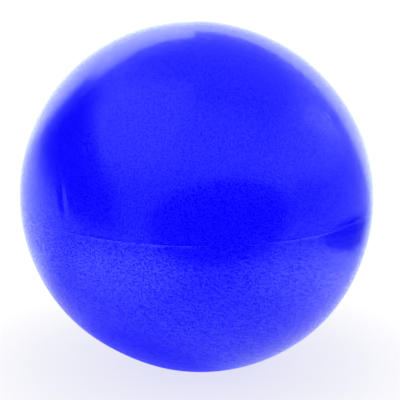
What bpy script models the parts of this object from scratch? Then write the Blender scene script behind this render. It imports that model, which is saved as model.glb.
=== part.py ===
"""A small soft Pilates ball: the inflated skin, the valve seat set into it and the stopper that shuts it.

Metres, +Z up. The floor is at Z = 0, the front of the ball faces -Y and the valve is at the back.
"""

import math

import bmesh
import bpy
from mathutils import Matrix, Vector

MM = 0.001

# The skin. A soft ball is never quite round: one axis is longer by OUT_OF_ROUND and one is shorter.
BALL_RADIUS = 125.0 * MM
OUT_OF_ROUND = 1.24 * MM
LONG_AXIS_DROP = math.radians(31.0)
SKIN_WALL = 0.8 * MM
# The flat where the ball's own weight presses it on the floor
CONTACT_RADIUS = 19.0 * MM
# The line that the two halves of the mould leave round the middle
SEAM_WIDTH = 1.2 * MM
SEAM_CROWN = 0.5 * MM
SEAM_HEIGHT = 0.35 * MM

# The valve seat, which fills a hole in the skin and has a flange inside it
VALVE_LATITUDE = math.radians(45.0)
SEAT_RADIUS = 12.0 * MM
SEAT_GAP = 0.3 * MM
FLANGE_RADIUS = 18.5 * MM
FLANGE_THICKNESS = 1.4 * MM
FLANGE_GAP = 0.35 * MM
NECK_RADIUS = 6.4 * MM
NECK_DEPTH = 15.0 * MM
RECESS_DEPTH = 2.4 * MM

# The stopper
HEAD_RADIUS = 6.0 * MM
HEAD_THICKNESS = 1.9 * MM
HEAD_DOME = 0.4 * MM
HEAD_SIDE_GAP = 0.5 * MM
HEAD_SEAT_GAP = 0.3 * MM
STEM_RADIUS = 2.4 * MM
STEM_LENGTH = 16.0 * MM
TIP_RADIUS = 1.9 * MM
RIB_COUNT = 3
RIB_HEIGHT = 0.4 * MM
RIB_LENGTH = 1.6 * MM
RIB_PITCH = 3.4 * MM
FIRST_RIB_DEPTH = 2.2 * MM
BORE_GAP = 0.3 * MM

# Rounded edges
LIP_ROUND = 0.8 * MM
EDGE_ROUND = 0.4 * MM
ROOT_ROUND = 1.2 * MM

# How finely the round shapes are cut into flat faces
BALL_STEPS = 64
BALL_RINGS_PER_HALF = 16
VALVE_STEPS = 32
ROUND_STEPS = 2
DOME_STEPS = 3
CUT_PAST = 4.0 * MM
MERGE_DISTANCE = 0.001 * MM
SHARP_ANGLE = math.radians(35.0)

# Colours as the photograph shows them, in linear light
SKIN_BLUE = (0.006, 0.006, 0.93, 1.0)
SEAT_BLUE = (0.006, 0.006, 0.80, 1.0)
STOPPER_WHITE = (0.80, 0.80, 0.78, 1.0)
SKIN_ROUGHNESS = 0.38
SEAT_ROUGHNESS = 0.45
STOPPER_ROUGHNESS = 0.35


def out_of_round():
    """The stretch along the long axis and the squeeze along the short one, about the ball's centre."""
    share = OUT_OF_ROUND / BALL_RADIUS
    long_axis = Vector((math.cos(LONG_AXIS_DROP), 0, -math.sin(LONG_AXIS_DROP)))
    short_axis = Vector((math.sin(LONG_AXIS_DROP), 0, math.cos(LONG_AXIS_DROP)))
    return Matrix.Scale(1 + share, 4, long_axis) @ Matrix.Scale(1 - share, 4, short_axis)


def centre_height():
    """The height of the ball's centre: its reach downwards, less what the flat takes off."""
    down = Vector((0, 0, -1))
    reach = (out_of_round().to_3x3().transposed() @ down).length * BALL_RADIUS
    flat_depth = BALL_RADIUS - math.sqrt(BALL_RADIUS**2 - CONTACT_RADIUS**2)
    return reach - flat_depth


def valve_frame():
    """The valve's own frame: on the outer face of the skin, with Z square to the skin and pointing out."""
    shape = out_of_round().to_3x3()
    round_direction = Vector((0, math.cos(VALVE_LATITUDE), math.sin(VALVE_LATITUDE)))
    place = Vector((0, 0, centre_height())) + shape @ round_direction * BALL_RADIUS
    out = shape.inverted().transposed() @ round_direction
    return Matrix.Translation(place) @ out.to_track_quat("Z", "Y").to_matrix().to_4x4()


def sphere_z(sphere_radius, r):
    """The height, in the valve's frame, of a sphere about the ball's centre at r from the valve's axis."""
    return math.sqrt(sphere_radius**2 - r**2) - BALL_RADIUS


def arc_along_sphere(sphere_radius, r_from, r_to):
    """The points between two radii on such a sphere, without its two ends."""
    steps = [k / DOME_STEPS for k in range(1, DOME_STEPS)]
    radii = [r_from + (r_to - r_from) * step for step in steps]
    return [(r, sphere_z(sphere_radius, r), 0) for r in radii]


def rounded(corners, closed):
    """A profile of (r, z) points from (r, z, rounding) corners: each rounding is an arc between two sides."""
    points = []
    for i, (r, z, rounding) in enumerate(corners):
        here = Vector((r, z))
        at_end = not closed and i in (0, len(corners) - 1)
        if at_end or not rounding:
            points.append(here)
            continue
        back = (Vector(corners[i - 1][:2]) - here).normalized()
        ahead = (Vector(corners[(i + 1) % len(corners)][:2]) - here).normalized()
        half_angle = back.angle(ahead) / 2
        middle = here + (back + ahead).normalized() * rounding / math.sin(half_angle)
        start = here + back * rounding / math.tan(half_angle) - middle
        turn = start.angle_signed(here - middle) * 2
        for k in range(ROUND_STEPS + 1):
            points.append(middle + Matrix.Rotation(-turn * k / ROUND_STEPS, 2) @ start)
    return points


def spun(points, steps, closed):
    """A bmesh of the profile turned once about Z."""
    bm = bmesh.new()
    verts = [bm.verts.new((r, 0, z)) for r, z in points]
    pairs = list(zip(verts, verts[1:]))
    if closed:
        pairs.append((verts[-1], verts[0]))
    edges = [bm.edges.new(pair) for pair in pairs]
    bmesh.ops.spin(
        bm, geom=verts + edges, cent=(0, 0, 0), axis=(0, 0, 1), angle=math.tau, steps=steps, use_merge=True
    )
    bmesh.ops.remove_doubles(bm, verts=bm.verts[:], dist=MERGE_DISTANCE)
    bmesh.ops.recalc_face_normals(bm, faces=bm.faces[:])
    return bm


def ball_profile(radius, seam_height):
    """Half the outline of a ball from its top to its bottom, with the seam standing out in the middle."""
    seam_half_angle = SEAM_WIDTH / 2 / radius
    crown_half_angle = SEAM_CROWN / 2 / radius
    ring_angle = (math.pi / 2 - seam_half_angle) / BALL_RINGS_PER_HALF
    angles = [k * ring_angle for k in range(BALL_RINGS_PER_HALF + 1)]
    top = [(radius * math.sin(angle), radius * math.cos(angle)) for angle in angles]
    crown_radius = radius + seam_height
    crown_z = crown_radius * math.sin(crown_half_angle)
    crown_r = crown_radius * math.cos(crown_half_angle)
    seam = [(crown_r, crown_z), (crown_r, -crown_z)] if seam_height else []
    bottom = [(r, -z) for r, z in reversed(top)]
    return top + seam + bottom


def settled_ball(radius, seam_height, floor):
    """A solid ball in its slightly oval shape, standing on the floor with what lies below cut off flat."""
    bm = spun(ball_profile(radius, seam_height), BALL_STEPS, closed=False)
    place = Matrix.Translation((0, 0, centre_height())) @ out_of_round()
    bmesh.ops.transform(bm, matrix=place, verts=bm.verts[:])
    everything = bm.verts[:] + bm.edges[:] + bm.faces[:]
    bmesh.ops.bisect_plane(
        bm,
        geom=everything,
        dist=MERGE_DISTANCE,
        plane_co=(0, 0, floor),
        plane_no=(0, 0, -1),
        clear_outer=True,
    )
    bmesh.ops.edgeloop_fill(bm, edges=[edge for edge in bm.edges if edge.is_boundary])
    bmesh.ops.recalc_face_normals(bm, faces=bm.faces[:])
    return bm


def seat_corners():
    """The valve seat's section: the flush outer face, the flange inside the skin, the neck and the bore."""
    bore_radius = STEM_RADIUS + RIB_HEIGHT + BORE_GAP
    recess_radius = HEAD_RADIUS + HEAD_SIDE_GAP
    flange_top = BALL_RADIUS - SKIN_WALL - FLANGE_GAP
    flange_bottom = flange_top - FLANGE_THICKNESS
    corners = [
        (bore_radius, -RECESS_DEPTH, EDGE_ROUND),
        (recess_radius, -RECESS_DEPTH, EDGE_ROUND),
        (recess_radius, sphere_z(BALL_RADIUS, recess_radius), LIP_ROUND),
    ]
    corners += arc_along_sphere(BALL_RADIUS, recess_radius + LIP_ROUND, SEAT_RADIUS - EDGE_ROUND)
    corners += [
        (SEAT_RADIUS, sphere_z(BALL_RADIUS, SEAT_RADIUS), EDGE_ROUND),
        (SEAT_RADIUS, sphere_z(flange_top, SEAT_RADIUS), 0),
    ]
    corners += arc_along_sphere(flange_top, SEAT_RADIUS, FLANGE_RADIUS - EDGE_ROUND)
    corners += [
        (FLANGE_RADIUS, sphere_z(flange_top, FLANGE_RADIUS), EDGE_ROUND),
        (FLANGE_RADIUS, sphere_z(flange_bottom, FLANGE_RADIUS), EDGE_ROUND),
    ]
    corners += arc_along_sphere(flange_bottom, FLANGE_RADIUS - EDGE_ROUND, NECK_RADIUS + ROOT_ROUND)
    corners += [
        (NECK_RADIUS, sphere_z(flange_bottom, NECK_RADIUS), ROOT_ROUND),
        (NECK_RADIUS, -NECK_DEPTH, LIP_ROUND),
        (bore_radius, -NECK_DEPTH, EDGE_ROUND),
    ]
    return corners


def stopper_corners():
    """The stopper's section from the middle of its head down to the tip of its ribbed stem."""
    underside = -RECESS_DEPTH + HEAD_SEAT_GAP
    rim = underside + HEAD_THICKNESS
    tip = underside - STEM_LENGTH
    corners = [
        (0, rim + HEAD_DOME, 0),
        (HEAD_RADIUS / 2, rim + HEAD_DOME * 3 / 4, 0),
        (HEAD_RADIUS, rim, EDGE_ROUND),
        (HEAD_RADIUS, underside, EDGE_ROUND),
        (STEM_RADIUS, underside, EDGE_ROUND),
    ]
    for k in range(RIB_COUNT):
        rib_top = underside - FIRST_RIB_DEPTH - k * RIB_PITCH
        corners += [
            (STEM_RADIUS, rib_top, 0),
            (STEM_RADIUS + RIB_HEIGHT, rib_top - RIB_LENGTH / 4, 0),
            (STEM_RADIUS + RIB_HEIGHT, rib_top - RIB_LENGTH / 2, 0),
            (STEM_RADIUS, rib_top - RIB_LENGTH, 0),
        ]
    corners += [(TIP_RADIUS, tip, ROOT_ROUND), (0, tip, 0)]
    return corners


def material(name, colour, roughness):
    made = bpy.data.materials.new(name)
    made.use_nodes = True
    shader = made.node_tree.nodes["Principled BSDF"]
    shader.inputs["Base Color"].default_value = colour
    shader.inputs["Roughness"].default_value = roughness
    shader.inputs["Metallic"].default_value = 0.0
    made.diffuse_color = colour
    return made


def add_object(name, bm, frame):
    mesh = bpy.data.meshes.new(name)
    bm.to_mesh(mesh)
    bm.free()
    mesh.shade_smooth()
    mesh.set_sharp_from_angle(angle=SHARP_ANGLE)
    made = bpy.data.objects.new(name, mesh)
    made.matrix_world = frame
    bpy.context.scene.collection.objects.link(made)
    return made


def cut_away(target, cutter):
    """Takes the cutter's shape out of the target and keeps the cutter as a hidden helper."""
    cutter.hide_render = True
    cutter.display_type = "WIRE"
    cut = target.modifiers.new("cut_" + cutter.name, "BOOLEAN")
    cut.operation = "DIFFERENCE"
    cut.solver = "EXACT"
    cut.object = cutter


for old in list(bpy.data.objects):
    bpy.data.objects.remove(old)

valve = valve_frame()

# The skin: the moulded ball, less the air space and the hole for the valve seat
skin = add_object("ball_skin", settled_ball(BALL_RADIUS, SEAM_HEIGHT, 0), Matrix())
air = add_object("air_space", settled_ball(BALL_RADIUS - SKIN_WALL, 0, SKIN_WALL), Matrix())
hole_radius = SEAT_RADIUS + SEAT_GAP
hole_outline = [(0, CUT_PAST), (hole_radius, CUT_PAST), (hole_radius, -CUT_PAST), (0, -CUT_PAST)]
hole = add_object("valve_hole", spun(hole_outline, VALVE_STEPS, closed=False), valve)
cut_away(skin, air)
cut_away(skin, hole)
skin.data.materials.append(material("skin_pvc", SKIN_BLUE, SKIN_ROUGHNESS))

# The valve seat
seat_outline = rounded(seat_corners(), closed=True)
seat = add_object("valve_seat", spun(seat_outline, VALVE_STEPS, closed=True), valve)
seat.data.materials.append(material("seat_pvc", SEAT_BLUE, SEAT_ROUGHNESS))

# The stopper, with its origin on the axis that it is pulled out along
stopper_outline = rounded(stopper_corners(), closed=False)
stopper = add_object("stopper", spun(stopper_outline, VALVE_STEPS, closed=False), valve)
stopper.data.materials.append(material("stopper_plastic", STOPPER_WHITE, STOPPER_ROUGHNESS))

print("centre height", round(centre_height(), 6))
print("valve place", [round(x, 6) for x in valve.translation])
print("valve axis", [round(x, 6) for x in valve.to_3x3() @ Vector((0, 0, 1))])
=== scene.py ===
# %% [markdown]
# # A small soft exercise ball
# This lesson dresses a measured model of a soft ball, the size of a large melon, that is blown up
# through a little valve and shut with a stopper. The measured model gives every place and size, and
# it stays untouched. Each step below makes one piece or one finish and puts it where the measured
# piece is. All lengths are in metres, Z is up, the floor is at Z = 0 and the front of the ball
# looks along -Y.

# %% Load the measured frame
import math

import bmesh
import bpy
from mathutils import Matrix, Vector, noise


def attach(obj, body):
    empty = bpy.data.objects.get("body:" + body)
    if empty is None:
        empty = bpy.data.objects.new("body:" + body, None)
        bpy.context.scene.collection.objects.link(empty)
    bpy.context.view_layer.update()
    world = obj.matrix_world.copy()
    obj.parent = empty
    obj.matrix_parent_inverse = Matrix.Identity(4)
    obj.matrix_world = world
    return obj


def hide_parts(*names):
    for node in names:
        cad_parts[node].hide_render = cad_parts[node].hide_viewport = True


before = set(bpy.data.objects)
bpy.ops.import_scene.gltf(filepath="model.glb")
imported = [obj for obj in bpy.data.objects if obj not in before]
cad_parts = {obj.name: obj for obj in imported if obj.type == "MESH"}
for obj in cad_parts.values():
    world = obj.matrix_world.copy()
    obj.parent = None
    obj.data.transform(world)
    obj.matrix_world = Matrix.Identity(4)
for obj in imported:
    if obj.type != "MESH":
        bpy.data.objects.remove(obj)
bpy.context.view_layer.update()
print("measured nodes:", sorted(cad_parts))

# %% [markdown]
# ## The ball's own shape
# A blown-up soft ball is almost a sphere, but never quite: this one is a little longer along an
# axis that drops to the right, and a little shorter across it. The easy way to get that is to
# model everything on a true sphere about the origin and to stretch the finished skin with one
# matrix at the end. The matrix is put together here from two scales along slanting axes, and a
# lift sets the stretched ball on the floor.

# %% The stretch and the lift
MM = 0.001
BALL_RADIUS = 125.0 * MM
OUT_OF_ROUND = 1.24 * MM
LONG_AXIS_DROP = math.radians(31.0)
CONTACT_RADIUS = 19.0 * MM

share = OUT_OF_ROUND / BALL_RADIUS
long_axis = Vector((math.cos(LONG_AXIS_DROP), 0, -math.sin(LONG_AXIS_DROP)))
short_axis = Vector((math.sin(LONG_AXIS_DROP), 0, math.cos(LONG_AXIS_DROP)))
stretch = Matrix.Scale(1 + share, 4, long_axis) @ Matrix.Scale(1 - share, 4, short_axis)

reach_down = (stretch.to_3x3().transposed() @ Vector((0, 0, -1))).length * BALL_RADIUS
flat_depth = BALL_RADIUS - math.sqrt(BALL_RADIUS**2 - CONTACT_RADIUS**2)
ball_centre = Vector((0, 0, reach_down - flat_depth))
ball_place = Matrix.Translation(ball_centre) @ stretch
print("centre of the ball:", [round(x, 5) for x in ball_centre])

# %% [markdown]
# ## Where the valve sits
# The valve is at the back, half way up the upper half. Its own frame has the origin on the
# skin and Z pointing straight out, so that the seat and the stopper can be drawn as simple turned
# shapes about Z and then moved into place in one go. On a stretched ball "straight out" isn't the
# line from the centre: a normal is carried by the inverse of the stretch, transposed.

# %% The valve's frame
VALVE_LATITUDE = math.radians(45.0)

valve_direction = Vector((0, math.cos(VALVE_LATITUDE), math.sin(VALVE_LATITUDE)))
valve_point = ball_place @ (valve_direction * BALL_RADIUS)
valve_out = stretch.to_3x3().inverted().transposed() @ valve_direction
valve_place = Matrix.Translation(valve_point) @ valve_out.to_track_quat("Z", "Y").to_matrix().to_4x4()
print("valve at", [round(x, 5) for x in valve_point])

# %% [markdown]
# ## The skin, step one: a ball with a clean hole
# The real skin is one hollow moulding. A UV sphere with a hole cut through it by a Boolean would
# leave ragged faces round the valve, just where a close look falls. So one point on the edge of
# the hole is spun into half an outline, and that outline is spun once round the valve's axis. Both
# are the same operator. Every ring of the mesh then runs round the valve, and the hole is round.

# %% Spin a point into an arc, and the arc into a ball
SEAT_RADIUS = 12.0 * MM
SEAT_GAP = 0.3 * MM
SKIN_ROUND_STEPS = 224
SKIN_ARC_STEPS = 132
MERGE_DISTANCE = 0.001 * MM

hole_angle = math.asin((SEAT_RADIUS + SEAT_GAP) / BALL_RADIUS)
skin = bmesh.new()
skin.verts.new((BALL_RADIUS * math.sin(hole_angle), 0, BALL_RADIUS * math.cos(hole_angle)))
bmesh.ops.spin(
    skin,
    geom=skin.verts[:],
    cent=(0, 0, 0),
    axis=(0, 1, 0),
    angle=math.pi - hole_angle,
    steps=SKIN_ARC_STEPS,
)
bmesh.ops.spin(
    skin,
    geom=skin.verts[:] + skin.edges[:],
    cent=(0, 0, 0),
    axis=(0, 0, 1),
    angle=math.tau,
    steps=SKIN_ROUND_STEPS,
    use_merge=True,
)
bmesh.ops.remove_doubles(skin, verts=skin.verts[:], dist=MERGE_DISTANCE)
bmesh.ops.recalc_face_normals(skin, faces=skin.faces[:])
tip_back = Matrix.Rotation(VALVE_LATITUDE - math.pi / 2, 4, "X")
bmesh.ops.transform(skin, matrix=tip_back, verts=skin.verts[:])
heights = [v.co.z for v in skin.verts]
print("open ball:", len(skin.faces), "faces, from", round(min(heights), 4), "to", round(max(heights), 4))

# %% [markdown]
# ## The skin, step two: a wall with a rolled edge
# So far the skin is a sheet. The solidify operator gives it the thickness of the real wall, and the
# bevel operator rounds the two edges of the hole. Only those edges turn sharply, so they are found
# by the angle between their faces. It is done now, while the sheet is still a true sphere, because
# the finer work that follows belongs to the outside alone.

# %% Thicken the sheet and round its hole
SKIN_WALL = 0.8 * MM
RIM_ROUND = 0.25 * MM
RIM_STEPS = 3
ROUND_PROFILE = 0.5
SHARP_TURN = math.radians(60)

bmesh.ops.solidify(skin, geom=skin.faces[:], thickness=SKIN_WALL)
rim = [e for e in skin.edges if e.calc_face_angle() > SHARP_TURN]
bmesh.ops.bevel(
    skin,
    geom=rim,
    offset=RIM_ROUND,
    offset_type="OFFSET",
    segments=RIM_STEPS,
    profile=ROUND_PROFILE,
    affect="EDGES",
    material=-1,
)
radii = [v.co.length / MM for v in skin.verts]
print("rim edges:", len(rim), "wall from", round(min(radii), 2), "to", round(max(radii), 2), "mm")

# %% [markdown]
# ## The skin, step three: the moulding line
# The two halves of the mould leave a fine raised line round the middle of the ball. The rings of
# this mesh run round the valve and cross that line at an angle, so the outer faces are first scored
# with bisect_plane, once for each level of the little ridge. The new points are then lifted along
# the radius by a smooth bump, which is higher in some places than in others, as a trimmed line is.

# %% Score the middle and raise the line
SEAM_HALF_WIDTH = 0.6 * MM
SEAM_HEIGHT = 0.11 * MM
SEAM_CUTS = (-1.0, -0.6, -0.3, 0.0, 0.3, 0.6, 1.0)
SEAM_CHANGES_PER_METRE = 17
SEAM_USUAL_SHARE = 0.6
SEAM_SHARE_SWING = 0.9
SEAM_LEAST_SHARE = 0.15
SCORE_DISTANCE = 0.01 * MM


def is_outer(v):
    return v.co.length > BALL_RADIUS - SKIN_WALL / 2


def seam_lift(point):
    """How far the moulding line stands out of the skin at a point."""
    across = point.z / SEAM_HALF_WIDTH
    change = noise.noise(Vector((point.x, point.y, 0)) * SEAM_CHANGES_PER_METRE)
    trimmed = max(SEAM_LEAST_SHARE, min(1.0, SEAM_USUAL_SHARE + SEAM_SHARE_SWING * change))
    return SEAM_HEIGHT * trimmed * (1 - across**2) ** 2


for cut in SEAM_CUTS:
    outside = [f for f in skin.faces if all(is_outer(v) for v in f.verts)]
    around = {part for f in outside for part in (*f.verts, *f.edges)}
    bmesh.ops.bisect_plane(
        skin,
        geom=outside + list(around),
        dist=SCORE_DISTANCE,
        plane_co=(0, 0, cut * SEAM_HALF_WIDTH),
        plane_no=(0, 0, 1),
    )
seam_points = [v for v in skin.verts if is_outer(v) and abs(v.co.z) < SEAM_HALF_WIDTH]
for v in seam_points:
    v.co += v.co.normalized() * seam_lift(v.co)
print("moulding line:", len(seam_points), "points")

# %% [markdown]
# ## The skin, step four: two small creases
# A soft ball is sold folded flat, and a fold can leave a crease that shows best in the reflections.
# This one has a short ridge high up at the right and a wider, shallow groove at the left. The faces
# are too large to show them, so the faces round each crease are divided with subdivide_edges. The
# new points are then brought back onto the sphere, with the height of the crease added, which
# tapers off to both sides and both ends. Each crease is listed with the directions of its two
# ends, half its width, and how far it rises or sinks.

# %% Divide the faces round each crease and shape it
CREASES = (
    ((0.625, -0.478, 0.617), (0.738, -0.474, 0.480), 2.1 * MM, 0.23 * MM),
    ((-0.682, -0.673, 0.286), (-0.656, -0.755, 0.030), 5.0 * MM, -0.36 * MM),
)
CREASE_CUTS = 3
CREASE_MARGIN = 4.0 * MM


def crease_frame(start, end):
    """The matrix that gives a point along, across and out of a crease, and half its length."""
    first = Vector(start).normalized() * BALL_RADIUS
    last = Vector(end).normalized() * BALL_RADIUS
    along = (last - first).normalized()
    outwards = (first + last).normalized()
    axes = Matrix((along, outwards.cross(along), outwards)).transposed().to_4x4()
    place = Matrix.Translation((first + last) / 2) @ axes
    return place.inverted(), (last - first).length / 2


def is_near(v, to_crease, half_length, half_width):
    along, across, out = to_crease @ v.co
    beside = abs(along) < half_length + CREASE_MARGIN and abs(across) < half_width + CREASE_MARGIN
    return beside and out > -CREASE_MARGIN and is_outer(v) and abs(v.co.z) > SEAM_HALF_WIDTH


for start, end, half_width, rise in CREASES:
    to_crease, half_length = crease_frame(start, end)
    crease = (to_crease, half_length, half_width)
    near_edges = [e for e in skin.edges if all(is_near(v, *crease) for v in e.verts)]
    bmesh.ops.subdivide_edges(skin, edges=near_edges, cuts=CREASE_CUTS, use_grid_fill=True)
    near_points = [v for v in skin.verts if is_near(v, *crease)]
    for v in near_points:
        along, across = (to_crease @ v.co).xy
        reach = min(1.0, math.hypot(along / half_length, across / half_width))
        v.co = v.co.normalized() * (BALL_RADIUS + rise * (1 - reach) ** 2 * (1 + 2 * reach))
    print("crease", round(2 * half_length / MM, 1), "mm long:", len(near_points), "points")

# %% [markdown]
# ## The skin, step five: soft unevenness
# A thin skin that is held only by air is never as true as a turned ball, and its outline and the
# bends in its reflections give that away. This one swells a little at the right and is a little
# flat at the left and at the lower left, by less than a millimetre. Two layers of smooth noise then
# move each point along the radius by less than a fifth of a millimetre. The stiff valve seat holds
# the skin true, so all of this fades out towards it.

# %% Let the skin waver
SWELLINGS = (
    ((0.98, -0.11, 0.19), math.radians(26), 0.9 * MM),
    ((0.64, -0.35, -0.69), math.radians(20), 0.5 * MM),
    ((-0.42, -0.37, -0.83), math.radians(16), -0.95 * MM),
    ((-0.99, -0.15, 0.04), math.radians(20), -0.5 * MM),
)
WAVES = ((22, 0.16 * MM), (60, 0.035 * MM))
CALM_NEAR_VALVE = math.radians(9)
FREE_FROM_VALVE = math.radians(24)


def swelling(point):
    """The height of the broad swellings and flats, each with its direction and its width."""
    total = 0
    for towards, width, rise in SWELLINGS:
        total += rise * math.exp(-((point.angle(Vector(towards)) / width) ** 2))
    return total


def waver(point):
    """How far the skin lies from a true ball at a point."""
    from_valve = point.angle(valve_direction)
    loose = (from_valve - CALM_NEAR_VALVE) / (FREE_FROM_VALVE - CALM_NEAR_VALVE)
    loose = max(0.0, min(1.0, loose))
    ripples = sum(height * noise.noise(point * per_metre) for per_metre, height in WAVES)
    return loose * (swelling(point) + ripples)


inner_points = [v for v in skin.verts if not is_outer(v)]
depths = [waver(v.co) for v in skin.verts]
for v, depth in zip(skin.verts, depths):
    v.co += v.co.normalized() * depth
print("unevenness in mm:", round(min(depths) / MM, 3), "to", round(max(depths) / MM, 3))

# %% [markdown]
# ## The skin, step six: settled on the floor
# The stretched ball is lifted into place and pressed flat underneath, where its own weight rests on
# the floor. A plane cut would leave a sharp edge round the flat. Instead each point's height is
# bent by a curve that follows the ball high up and runs out level at the floor, so that the skin
# rolls softly into its flat. The inside settles in the same way, one wall higher.

# %% Stretch, lift and settle
FLOOR_SOFTNESS = 0.4 * MM
FLOOR_REACH = 20 * FLOOR_SOFTNESS


def settle(points, floor):
    """Bends the heights of points so that none lies below the floor."""
    low = [v for v in points if v.co.z - floor < FLOOR_REACH]
    for v in low:
        v.co.z = floor + FLOOR_SOFTNESS * math.log1p(math.exp((v.co.z - floor) / FLOOR_SOFTNESS))
    return low


inside = set(inner_points)
bmesh.ops.transform(skin, matrix=ball_place, verts=skin.verts[:])
settled = settle([v for v in skin.verts if v not in inside], 0)
settle(inner_points, SKIN_WALL)
print("settled points:", len(settled), "lowest at", round(min(v.co.z for v in settled) / MM, 3), "mm")

# %% [markdown]
# ## From bmesh to a piece
# Each finished bmesh becomes an object in the same way: smooth shading, with edges kept crisp where
# the surface really turns. The object stays at the origin, because the place is in the mesh, and a
# pattern that reads Object coordinates then keeps its true size.

# %% A helper that adds a piece
CRISP_ANGLE = math.radians(40)


def add_piece(name, shape):
    mesh = bpy.data.meshes.new(name)
    shape.to_mesh(mesh)
    shape.free()
    mesh.shade_smooth()
    mesh.set_sharp_from_angle(angle=CRISP_ANGLE)
    piece = bpy.data.objects.new(name, mesh)
    bpy.context.scene.collection.objects.link(piece)
    mesh.calc_loop_triangles()
    print(name, "has", len(mesh.loop_triangles), "triangles")
    return piece


skin_piece = add_piece("grained_skin", skin)

# %% [markdown]
# ## Turned pieces
# The valve seat and the stopper are both turned shapes, so each starts as a section of a few
# corners at one side of the axis, is spun once round, and then has its edges rounded with the bevel
# operator. One helper spins a section and another rounds the ring that one corner has made.

# %% Helpers for turned shapes
TURN_STEPS = 96
ROUND_STEPS = 4


def turned(corners, closed):
    """A section of (radius, height) corners spun once about Z."""
    shape = bmesh.new()
    points = [shape.verts.new((r, 0, z)) for r, z in corners]
    pairs = list(zip(points, points[1:]))
    if closed:
        pairs.append((points[-1], points[0]))
    sides = [shape.edges.new(pair) for pair in pairs]
    bmesh.ops.spin(
        shape,
        geom=points + sides,
        cent=(0, 0, 0),
        axis=(0, 0, 1),
        angle=math.tau,
        steps=TURN_STEPS,
        use_merge=True,
    )
    bmesh.ops.remove_doubles(shape, verts=shape.verts[:], dist=MERGE_DISTANCE)
    bmesh.ops.recalc_face_normals(shape, faces=shape.faces[:])
    return shape


def round_ring(shape, r, z, rounding):
    """Rounds the ring of edges that the corner at (r, z) was spun into."""

    def on_ring(v):
        return abs(v.co.xy.length - r) < MERGE_DISTANCE and abs(v.co.z - z) < MERGE_DISTANCE

    ring = [e for e in shape.edges if all(on_ring(v) for v in e.verts)]
    bmesh.ops.bevel(
        shape,
        geom=ring,
        offset=rounding,
        offset_type="OFFSET",
        segments=ROUND_STEPS,
        profile=ROUND_PROFILE,
        affect="EDGES",
        material=-1,
    )


def dome_height(sphere_radius, r):
    """The height above the valve's origin of a sphere about the ball's centre."""
    return math.sqrt(sphere_radius**2 - r**2) - BALL_RADIUS


def dome_points(sphere_radius, rings):
    return [(r, dome_height(sphere_radius, r)) for r in rings]


print("a turned shape has", TURN_STEPS, "steps round")

# %% [markdown]
# ## The valve seat
# The seat is a small moulding of the same soft plastic that sits flush in the hole. From outside it
# shows a ring that carries on the curve of the ball, and a sunk well for the head of the stopper.
# Inside the skin a flange holds it, and a neck runs inwards round the bore. Its outer face and its
# flange are drawn as short chains of points on spheres about the ball's centre, so that they lie
# snugly in the skin.

# %% Turn the seat
FLANGE_RADIUS = 18.5 * MM
FLANGE_THICKNESS = 1.4 * MM
FLANGE_GAP = 0.35 * MM
NECK_RADIUS = 6.4 * MM
NECK_DEPTH = 15.0 * MM
WELL_RADIUS = 6.5 * MM
WELL_DEPTH = 2.4 * MM
BORE_RADIUS = 3.1 * MM
FACE_RINGS = (7.6 * MM, 8.7 * MM, 9.8 * MM, 10.9 * MM)
FLANGE_RINGS = (12.0 * MM, 13.5 * MM, 15.0 * MM, 16.5 * MM)
UNDER_RINGS = (16.0 * MM, 13.0 * MM, 10.0 * MM)
LIP_ROUND = 0.8 * MM
EDGE_ROUND = 0.4 * MM
ROOT_ROUND = 1.2 * MM

flange_top = BALL_RADIUS - SKIN_WALL - FLANGE_GAP
flange_bottom = flange_top - FLANGE_THICKNESS
well_lip = dome_height(BALL_RADIUS, WELL_RADIUS)
seat_rim = dome_height(BALL_RADIUS, SEAT_RADIUS)
flange_rim = dome_height(flange_top, FLANGE_RADIUS)
flange_under = dome_height(flange_bottom, FLANGE_RADIUS)
neck_root = dome_height(flange_bottom, NECK_RADIUS)

seat = turned(
    [(BORE_RADIUS, -WELL_DEPTH), (WELL_RADIUS, -WELL_DEPTH), (WELL_RADIUS, well_lip)]
    + dome_points(BALL_RADIUS, FACE_RINGS)
    + [(SEAT_RADIUS, seat_rim)]
    + dome_points(flange_top, FLANGE_RINGS)
    + [(FLANGE_RADIUS, flange_rim), (FLANGE_RADIUS, flange_under)]
    + dome_points(flange_bottom, UNDER_RINGS)
    + [(NECK_RADIUS, neck_root), (NECK_RADIUS, -NECK_DEPTH), (BORE_RADIUS, -NECK_DEPTH)],
    closed=True,
)
round_ring(seat, WELL_RADIUS, -WELL_DEPTH, EDGE_ROUND)
round_ring(seat, WELL_RADIUS, well_lip, LIP_ROUND)
round_ring(seat, BORE_RADIUS, -WELL_DEPTH, EDGE_ROUND)
round_ring(seat, SEAT_RADIUS, seat_rim, EDGE_ROUND)
round_ring(seat, FLANGE_RADIUS, flange_rim, EDGE_ROUND)
round_ring(seat, FLANGE_RADIUS, flange_under, EDGE_ROUND)
round_ring(seat, NECK_RADIUS, neck_root, ROOT_ROUND)
round_ring(seat, NECK_RADIUS, -NECK_DEPTH, LIP_ROUND)
round_ring(seat, BORE_RADIUS, -NECK_DEPTH, EDGE_ROUND)
bmesh.ops.transform(seat, matrix=valve_place, verts=seat.verts[:])
seat_piece = add_piece("moulded_seat", seat)

# %% [markdown]
# ## The stopper
# The stopper is the one piece that moves: a white plug with a slightly domed head, which is gripped
# with a fingernail, and a stem with three ribs that hold it in the bore. The ribs rise steeply on
# the outer side and run off slowly towards the tip, so that the stopper goes in easily and comes
# out hard.

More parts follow.
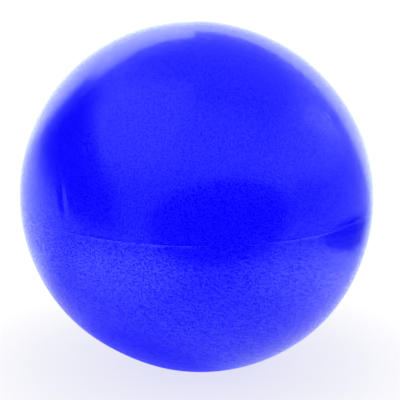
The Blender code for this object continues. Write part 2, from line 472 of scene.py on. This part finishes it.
# %% Turn the stopper
HEAD_RADIUS = 6.0 * MM
HEAD_THICKNESS = 1.9 * MM
HEAD_DOME = 0.4 * MM
HEAD_RINGS = (0, 0.2, 0.4, 0.6, 0.8)
HEAD_SEAT_GAP = 0.3 * MM
STEM_RADIUS = 2.4 * MM
STEM_LENGTH = 16.0 * MM
TIP_RADIUS = 1.9 * MM
TIP_ROUND = 1.0 * MM
RIB_COUNT = 3
RIB_HEIGHT = 0.4 * MM
RIB_LENGTH = 1.6 * MM
RIB_PITCH = 3.4 * MM
FIRST_RIB_DEPTH = 2.2 * MM
RIB_ROUND = 0.12 * MM

head_under = HEAD_SEAT_GAP - WELL_DEPTH
head_rim = head_under + HEAD_THICKNESS
stem_tip = head_under - STEM_LENGTH
head_points = [(HEAD_RADIUS * part, head_rim + HEAD_DOME * (1 - part**2)) for part in HEAD_RINGS]
rib_crests = [head_under - FIRST_RIB_DEPTH - k * RIB_PITCH - RIB_LENGTH / 4 for k in range(RIB_COUNT)]
rib_points = []
for crest in rib_crests:
    rib_points += [
        (STEM_RADIUS, crest + RIB_LENGTH / 4),
        (STEM_RADIUS + RIB_HEIGHT, crest),
        (STEM_RADIUS + RIB_HEIGHT, crest - RIB_LENGTH / 4),
        (STEM_RADIUS, crest - RIB_LENGTH * 3 / 4),
    ]

stopper = turned(
    head_points
    + [(HEAD_RADIUS, head_rim), (HEAD_RADIUS, head_under), (STEM_RADIUS, head_under)]
    + rib_points
    + [(TIP_RADIUS, stem_tip), (0, stem_tip)],
    closed=False,
)
round_ring(stopper, HEAD_RADIUS, head_rim, EDGE_ROUND)
round_ring(stopper, HEAD_RADIUS, head_under, EDGE_ROUND)
round_ring(stopper, STEM_RADIUS, head_under, EDGE_ROUND)
round_ring(stopper, TIP_RADIUS, stem_tip, TIP_ROUND)
for crest in rib_crests:
    round_ring(stopper, STEM_RADIUS + RIB_HEIGHT, crest, RIB_ROUND)
    round_ring(stopper, STEM_RADIUS + RIB_HEIGHT, crest - RIB_LENGTH / 4, RIB_ROUND)
bmesh.ops.transform(stopper, matrix=valve_place, verts=stopper.verts[:])
stopper_piece = add_piece("ribbed_stopper", stopper)

# %% [markdown]
# ## Small helpers for finishes
# All the finishes are built from nodes that read Object coordinates, so a grain has its real size
# in metres and stays on the piece. A pattern with a scale of 1000 has about 1000 waves or cells to
# the metre, or one to the millimetre. An input of a node is either linked to another node or set to
# a plain value. One helper does whichever is asked for, and the others are built on it.

# %% Helpers for finishes
NOISE_RANGE = (0.3, 0.7)


def add_node(tree, kind, **settings):
    node = tree.nodes.new(kind)
    for name, value in settings.items():
        setattr(node, name, value)
    return node


def link_or_set(tree, socket, source):
    if isinstance(source, bpy.types.NodeSocket):
        tree.links.new(source, socket)
    else:
        socket.default_value = source


def feed(tree, node, **sources):
    """Links or sets inputs by name, with _ for a space in the name."""
    for name, source in sources.items():
        link_or_set(tree, node.inputs[name.replace("_", " ")], source)


def new_finish(name):
    finish = bpy.data.materials.new(name)
    finish.use_nodes = True
    tree = finish.node_tree
    return finish, tree, tree.nodes["Principled BSDF"]


def place_on_piece(tree):
    """The output that gives each point of the piece in metres."""
    return add_node(tree, "ShaderNodeTexCoord").outputs["Object"]


def noise_at(tree, place, waves_per_metre, detail):
    node = add_node(tree, "ShaderNodeTexNoise")
    feed(tree, node, Vector=place, Scale=waves_per_metre, Detail=detail)
    return node.outputs["Fac"]


def map_range(tree, value, start, end, low=0, high=1, kind="SMOOTHSTEP"):
    """A number that goes from low to high as the value goes from start to end."""
    node = add_node(tree, "ShaderNodeMapRange", interpolation_type=kind)
    feed(tree, node, Value=value, From_Min=start, From_Max=end, To_Min=low, To_Max=high)
    return node.outputs["Result"]


def between(tree, pattern, low, high):
    """A number that goes evenly from low to high in the range where noise mostly lies."""
    return map_range(tree, pattern, *NOISE_RANGE, low, high, kind="LINEAR")


def colour_between(tree, pattern, low, high):
    """A colour that goes from low to high in the same range."""
    node = add_node(tree, "ShaderNodeValToRGB")
    for stop, position, colour in zip(node.color_ramp.elements, NOISE_RANGE, (low, high)):
        stop.position = position
        stop.color = colour
    feed(tree, node, Fac=pattern)
    return node.outputs["Color"]


def blend(tree, share, first, second):
    """A number that goes from the first to the second as the share goes from 0 to 1."""
    node = add_node(tree, "ShaderNodeMix", data_type="FLOAT")
    feed(tree, node, Factor=share, A=first, B=second)
    return node.outputs["Result"]


def relief(tree, height, depth, strength=1.0, under=None):
    """A bump of that depth in metres, on top of another bump where one is given."""
    node = add_node(tree, "ShaderNodeBump")
    feed(tree, node, Height=height, Distance=depth, Strength=strength)
    if under:
        feed(tree, node, Normal=under)
    return node.outputs["Normal"]


print("finish helpers are ready")

# %% [markdown]
# ## The skin's finish
# The skin is soft plastic coloured right through, a strong pure blue that reflects next to no red
# or green. What tells plastic from paint is the surface: a fine pebbled grain from the mould, about
# a millimetre across. A Voronoi pattern gives the distance to the middle of the nearest cell, and a
# soft cut through that distance leaves round pebbles with hollows between them. Each pebble is
# fairly glossy by itself, so the softness of the reflections comes from the relief and not from a
# high roughness. The hollows are painted a darker blue, as painted shade, and the pebble tops a
# paler blue, as a painted sheen, and the tops also shine more. The difference in shine shows most
# in the lower half, because the two halves of the mould don't leave quite the same grain.

# %% The blue skin
PEBBLES_PER_METRE = 1000
PEBBLE_EDGE = (0.60, 0.40)
PEBBLE_RELIEF = 0.025 * MM
PORES_PER_METRE = 2400
PORE_RELIEF = 0.005 * MM
# Painted shade and sheen: the hollows' blue is darker and the pebble tops' blue paler, standing in for
# shade in the hollows and sheen on the tops.
HOLLOW_BLUE_WITH_SHADE = (0.0014, 0, 0.92, 1)
PEBBLE_BLUE_WITH_SHEEN = (0.0068, 0.0042, 1.0, 1)
HANDLING_PER_METRE = 30
SKIN_ROUGHNESS = (0.06, 0.10)
SKIN_SPECULAR = 0.12
LOWER_GRAIN = 0.9
UPPER_GRAIN = 0.45
HALVES_BLEND = 12 * MM
EVEN_SHINE = 0.55
SHINE_ROUGHNESS = 0.05
PLASTIC_IOR = 1.5

skin_finish, tree, shader = new_finish("pebbled_blue_skin")
place = place_on_piece(tree)
cells = add_node(tree, "ShaderNodeTexVoronoi", feature="F1")
feed(tree, cells, Vector=place, Scale=PEBBLES_PER_METRE)
pebbles = map_range(tree, cells.outputs["Distance"], *PEBBLE_EDGE)
pores = noise_at(tree, place, PORES_PER_METRE, detail=1)
handling = noise_at(tree, place, HANDLING_PER_METRE, detail=5)

place_parts = add_node(tree, "ShaderNodeSeparateXYZ")
feed(tree, place_parts, Vector=place)
seam_span = (ball_centre.z - HALVES_BLEND, ball_centre.z + HALVES_BLEND)
grain = map_range(tree, place_parts.outputs["Z"], *seam_span, LOWER_GRAIN, UPPER_GRAIN)
skin_relief = relief(tree, pores, PORE_RELIEF, under=relief(tree, pebbles, PEBBLE_RELIEF))
feed(
    tree,
    shader,
    Base_Color=colour_between(tree, pebbles, HOLLOW_BLUE_WITH_SHADE, PEBBLE_BLUE_WITH_SHEEN),
    Roughness=between(tree, handling, *SKIN_ROUGHNESS),
    Specular_IOR_Level=SKIN_SPECULAR,
    IOR=PLASTIC_IOR,
    Coat_Weight=blend(tree, grain, EVEN_SHINE, pebbles),
    Coat_Roughness=SHINE_ROUGHNESS,
    Normal=skin_relief,
    Coat_Normal=skin_relief,
)
skin_piece.data.materials.append(skin_finish)
print(skin_finish.name, "has", len(tree.nodes), "nodes")

# %% [markdown]
# ## The seat's finish
# The seat comes from a polished mould, so it is smoother than the skin. The same blue sits a touch
# darker in it because the moulding is thicker, and there is only a trace of flow in its gloss.

# %% The blue seat
FLOW_PER_METRE = 160
SEAT_BLUES = ((0.0030, 0.0028, 0.78, 1), (0.0045, 0.0045, 0.86, 1))
SEAT_ROUGHNESS = (0.26, 0.36)
SEAT_GRAIN_PER_METRE = 900
SEAT_RELIEF = 0.02 * MM
FAINT_STRENGTH = 0.3

seat_finish, tree, shader = new_finish("smooth_blue_seat")
place = place_on_piece(tree)
flow = noise_at(tree, place, FLOW_PER_METRE, detail=3)
seat_grain = noise_at(tree, place, SEAT_GRAIN_PER_METRE, detail=2)
feed(
    tree,
    shader,
    Base_Color=colour_between(tree, flow, *SEAT_BLUES),
    Roughness=between(tree, flow, *SEAT_ROUGHNESS),
    IOR=PLASTIC_IOR,
    Normal=relief(tree, seat_grain, SEAT_RELIEF, FAINT_STRENGTH),
)
seat_piece.data.materials.append(seat_finish)
print(seat_finish.name, "has", len(tree.nodes), "nodes")

# %% [markdown]
# ## The stopper's finish
# The stopper is a hard, milky white plastic. It is a little waxy, so its gloss is broken by fine
# marks from the mould and from fingernails.

# %% The white stopper
MILK_PER_METRE = 240
STOPPER_WHITES = ((0.76, 0.76, 0.73, 1), (0.83, 0.83, 0.81, 1))
STOPPER_ROUGHNESS = (0.30, 0.44)
MARKS_PER_METRE = 1800
MARK_RELIEF = 0.015 * MM

stopper_finish, tree, shader = new_finish("milky_white_stopper")
place = place_on_piece(tree)
milk = noise_at(tree, place, MILK_PER_METRE, detail=3)
marks = noise_at(tree, place, MARKS_PER_METRE, detail=3)
feed(
    tree,
    shader,
    Base_Color=colour_between(tree, milk, *STOPPER_WHITES),
    Roughness=between(tree, milk, *STOPPER_ROUGHNESS),
    IOR=PLASTIC_IOR,
    Normal=relief(tree, marks, MARK_RELIEF, FAINT_STRENGTH),
)
stopper_piece.data.materials.append(stopper_finish)
print(stopper_finish.name, "has", len(tree.nodes), "nodes")

# %% [markdown]
# ## Helpers for sums and mixtures
# The floor and the room need a little arithmetic on the way: a distance, a share, a mixture of two
# colours. Each of these is one node with its inputs fed in their order, so one helper makes the
# node and four short ones name what it is for.

# %% Helpers for sums and mixtures
def fed_node(tree, kind, *sources, **settings):
    """A node whose first inputs are linked or set in their order."""
    node = add_node(tree, kind, **settings)
    for socket, source in zip(node.inputs, sources):
        link_or_set(tree, socket, source)
    return node


def calculate(tree, operation, *numbers):
    return fed_node(tree, "ShaderNodeMath", *numbers, operation=operation).outputs["Value"]


def measure(tree, operation, *vectors):
    """A number that is worked out from vectors, such as a length."""
    return fed_node(tree, "ShaderNodeVectorMath", *vectors, operation=operation).outputs["Value"]


def blend_colour(tree, share, first, second):
    return fed_node(tree, "ShaderNodeMixRGB", share, first, second).outputs["Color"]


def blend_shader(tree, share, first, second):
    return fed_node(tree, "ShaderNodeMixShader", share, first, second).outputs["Shader"]


print("helpers for sums and mixtures are ready")

# %% [markdown]
# ## The floor
# The floor is a plain white table top. Most of what the camera sees of it is plain white, so that it
# runs into the white background, and the rest is lit, so that the ball keeps its soft shadow. It
# fades out round its edge instead of stopping at a line.

# %% Lay the table top
TABLE_RADIUS = 0.28
TABLE_STEPS = 96

table = bmesh.new()
bmesh.ops.create_circle(table, cap_ends=True, segments=TABLE_STEPS, radius=TABLE_RADIUS)
table_piece = add_piece("white_table_top", table)

# %% [markdown]
# ## The table's finish
# The light that the table throws up at the ball is as white as the room's. What the ball's gloss
# shows of the table is painted light and shade: close to the ball the table glows with a painted
# blue that stands in for the blue the ball throws back onto it, further off a painted pale light
# falls on it at the front right, towards the window, and painted blue shade lies at the back left,
# where the ball's shadow falls. A light path node tells which kind of ray has met the table, so
# each kind gets its own share of plain colour.

# %% The white table
TABLE_FADE = (0.10, 0.27)
PLAIN_WHITE = (1, 1, 1, 1)
LIT_WHITE = (0.8, 0.8, 0.8, 1)
PLAIN_SHARE = 0.72
GLOW_CENTRE = (-0.04, -0.03, 0)
GLOW_REACH = (0.04, 0.11)
GLOW_SHARE = 0.8
BEYOND_SHARE = 0.4
WINDOW_DIRECTION = (0.7, -0.7, 0)
WINDOW_SIDE = (-0.14, 0.08)
PAINTED_BLUE_GLOW = (0.11, 0.11, 1.5, 1)
PAINTED_PALE_GLOW = (0.96, 1.05, 2, 1)

table_finish, tree, shader = new_finish("plain_white_table")
tree.nodes.remove(shader)
place = place_on_piece(tree)
rays = add_node(tree, "ShaderNodeLightPath").outputs
# Painted light and shade that only the ball's gloss sees: a blue glow near the ball, pale window light
# at the front right and blue shade at the back left.
beyond_glow = map_range(tree, measure(tree, "DISTANCE", place, GLOW_CENTRE), *GLOW_REACH)
painted_window_light = map_range(tree, measure(tree, "DOT_PRODUCT", place, WINDOW_DIRECTION), *WINDOW_SIDE)
painted_light_share = calculate(tree, "MULTIPLY", painted_window_light, beyond_glow)
painted_reflection = blend_colour(tree, painted_light_share, PAINTED_BLUE_GLOW, PAINTED_PALE_GLOW)

plain = add_node(tree, "ShaderNodeEmission")
feed(tree, plain, Color=blend_colour(tree, rays["Is Glossy Ray"], PLAIN_WHITE, painted_reflection))
lit = add_node(tree, "ShaderNodeBsdfDiffuse")
feed(tree, lit, Color=LIT_WHITE)
clear = add_node(tree, "ShaderNodeBsdfTransparent")

gloss_share = blend(tree, beyond_glow, GLOW_SHARE, BEYOND_SHARE)
plain_share = calculate(tree, "MULTIPLY_ADD", rays["Is Camera Ray"], PLAIN_SHARE, rays["Is Diffuse Ray"])
plain_share = calculate(tree, "MULTIPLY_ADD", rays["Is Glossy Ray"], gloss_share, plain_share)
top = blend_shader(tree, plain_share, lit.outputs["BSDF"], plain.outputs["Emission"])
fade = map_range(tree, measure(tree, "LENGTH", place), *TABLE_FADE)
top = blend_shader(tree, fade, top, clear.outputs["BSDF"])
feed(tree, tree.nodes["Material Output"], Surface=top)
table_piece.data.materials.append(table_finish)
print("table top fades out at", TABLE_FADE[1], "m")

# %% [markdown]
# ## The studio
# The ball is lit from all round by a plain white world, so its blue comes out as it is mixed. A
# glossy ball also mirrors its surroundings, and an even white room would make it look like a flat
# disc. So the rays that come from a reflection see a simple room in cool daylight: a bright
# backdrop, a pale ceiling, a window at the right, and dark openings at the left and behind the
# camera. Because what this world shows depends on the kind of ray, it isn't sampled as a light.
# First each direction of the world is turned into a bearing and an elevation in degrees. Bearing 0
# is behind the camera, and it grows to the right.

# %% Bearing and elevation
world = bpy.data.worlds.new("plain_studio")
bpy.context.scene.world = world
world.use_nodes = True
world.cycles.sampling_method = "NONE"
tree = world.node_tree

direction = add_node(tree, "ShaderNodeSeparateXYZ")
feed(tree, direction, Vector=add_node(tree, "ShaderNodeTexCoord").outputs["Generated"])
to_front = calculate(tree, "MULTIPLY", direction.outputs["Y"], -1)
bearing = calculate(tree, "DEGREES", calculate(tree, "ARCTAN2", direction.outputs["X"], to_front))
elevation = calculate(tree, "DEGREES", calculate(tree, "ARCSINE", direction.outputs["Z"]))
seen_at = fed_node(tree, "ShaderNodeCombineXYZ", bearing, elevation).outputs["Vector"]
print("the world has", len(tree.nodes), "nodes so far")

# %% [markdown]
# ## The room in the reflections
# Each thing in the room is an oval panel with a soft edge. It is listed with its name, the
# bearing and elevation of its middle, its half width and half height in degrees, its turn, the
# softness of its edge and its brightness. A later panel covers an earlier one. A Mapping node
# measures each direction from a panel's middle in half widths and half heights, so the length of
# that vector is 1 all round the panel's edge, and the panel is an oval.

# %% Panels to mirror
DOME_LEVEL = 1.1
DAYLIGHT = (0.96, 1.07, 1.2, 1)
ROOM_LEVEL = 0.4
LOW_LEVEL = 0.55
LOW_FROM = (0, -14)
PANELS = (
    ("ceiling", (-54, 56), (61, 31), 0, 0.5, 1.0),
    ("ceiling over the camera", (25, 46), (40, 22), 0, 0.5, 0.7),
    ("right wall", (90, 26), (45, 16), 0, 0.5, 0.84),
    ("window", (114, 25), (15, 7), -30, 0.5, 1.3),
    ("far left of the table", (-150, -14), (48, 19), 0, 0.4, 1.05),
    ("table at the left", (-52, -38), (40, 17), 0, 0.5, 1.55),
    ("table at the right", (88, -38), (46, 17), 0, 0.5, 1.55),
    ("table edge", (112, -18), (27, 6), 0, 0.25, 0.0),
    ("left opening, far end", (-112, 22), (34, 19), -8, 0.35, 0.05),
    ("left opening, near end", (-84, 13), (44, 18), -28, 0.3, 0.0),
    ("between the openings", (-32, -2), (15, 16), 0, 0.6, 0.42),
    ("right of the camera", (75, 4), (13, 9), 0, 0.6, 0.3),
    ("camera side", (15, -3), (45, 27), 6, 0.15, 0.0),
    ("backdrop at the left", (-180, 18), (45, 27), 0, 0.15, 1.75),
    ("top of the backdrop", (-160, 37), (26, 8), 0, 0.3, 2.1),
    ("far right of the table", (168, -20), (29, 18), 0, 0.3, 1.15),
    ("gap beside the backdrop", (129, 14), (5, 13), 0, 0.5, 0.4),
    ("backdrop at the right", (180, 6), (47, 28), 0, 0.1, 1.7),
    ("middle of the backdrop, seen left", (-180, 9), (31, 20), 0, 0.45, 1.55),
    ("middle of the backdrop, seen right", (180, 9), (31, 20), 0, 0.45, 1.3),
)


def panel_mask(name, middle, half_size, turn, softness):
    """1 inside a panel and 0 outside it."""
    to_panel = add_node(tree, "ShaderNodeMapping", vector_type="TEXTURE", label=name)
    feed(tree, to_panel, Vector=seen_at, Location=(*middle, 0), Scale=(*half_size, 1))
    feed(tree, to_panel, Rotation=(0, 0, math.radians(turn)))
    distance = measure(tree, "LENGTH", to_panel.outputs["Vector"])
    return map_range(tree, distance, 1 + softness, 1 - softness)


level = map_range(tree, elevation, *LOW_FROM, ROOM_LEVEL, LOW_LEVEL)
for *panel, brightness in PANELS:
    level = blend(tree, panel_mask(*panel), level, brightness)

reflected = add_node(tree, "ShaderNodeLightPath").outputs["Is Glossy Ray"]
feed(
    tree,
    tree.nodes["Background"],
    Color=blend_colour(tree, reflected, PLAIN_WHITE, DAYLIGHT),
    Strength=blend(tree, reflected, DOME_LEVEL, level),
)
print("panels in the room:", len(PANELS))

# %% [markdown]
# ## The camera
# The camera stands in front and a little above, and looks down at the ball. Its distance follows
# from how large the ball is in the picture: a sphere of radius R at distance D fills an angle whose
# sine is R / D. The ball sits slightly left of the middle and slightly above it, so the camera is
# aimed a touch to the right of the ball's centre and below it.

# %% Place the camera
LENS = 100.0
SENSOR = 36.0
PICTURE = 400
BALL_PIXELS = 176.7
BALL_OFF_MIDDLE = 3.6
CAMERA_ELEVATION = math.radians(14.0)

half_view = SENSOR / 2 / LENS
ball_angle = math.atan(BALL_PIXELS / (PICTURE / 2) * half_view)
camera_distance = BALL_RADIUS / math.sin(ball_angle)
pixel = 2 * camera_distance * half_view / PICTURE
towards_camera = Vector((0, -math.cos(CAMERA_ELEVATION), math.sin(CAMERA_ELEVATION)))
camera_up = Vector((0, math.sin(CAMERA_ELEVATION), math.cos(CAMERA_ELEVATION)))
aim = ball_centre + (Vector((1, 0, 0)) - camera_up) * BALL_OFF_MIDDLE * pixel

camera_data = bpy.data.cameras.new("front_camera")
camera_data.lens = LENS
camera_data.sensor_width = SENSOR
camera = bpy.data.objects.new("front_camera", camera_data)
camera.location = ball_centre + towards_camera * camera_distance
camera.rotation_euler = (aim - camera.location).to_track_quat("-Z", "Y").to_euler()
bpy.context.scene.collection.objects.link(camera)
bpy.context.scene.camera = camera
bpy.context.scene.view_settings.view_transform = "Standard"
print("camera distance:", round(camera_distance, 4))

# %% [markdown]
# ## Put the pieces on the frame
# Each piece takes the place of the measured solid that it was drawn from and moves with that
# solid's body: the skin and the seat with the ball, and the stopper with its own body, which slides
# out along the valve.

# %% Ride and replace
for piece, body, node, slot in (
    (skin_piece, "ball", "ball_skin", "skin_pvc"),
    (seat_piece, "ball", "valve_seat", "seat_pvc"),
    (stopper_piece, "stopper_body", "stopper", "stopper_plastic"),
):
    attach(piece, body)
    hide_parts(node)
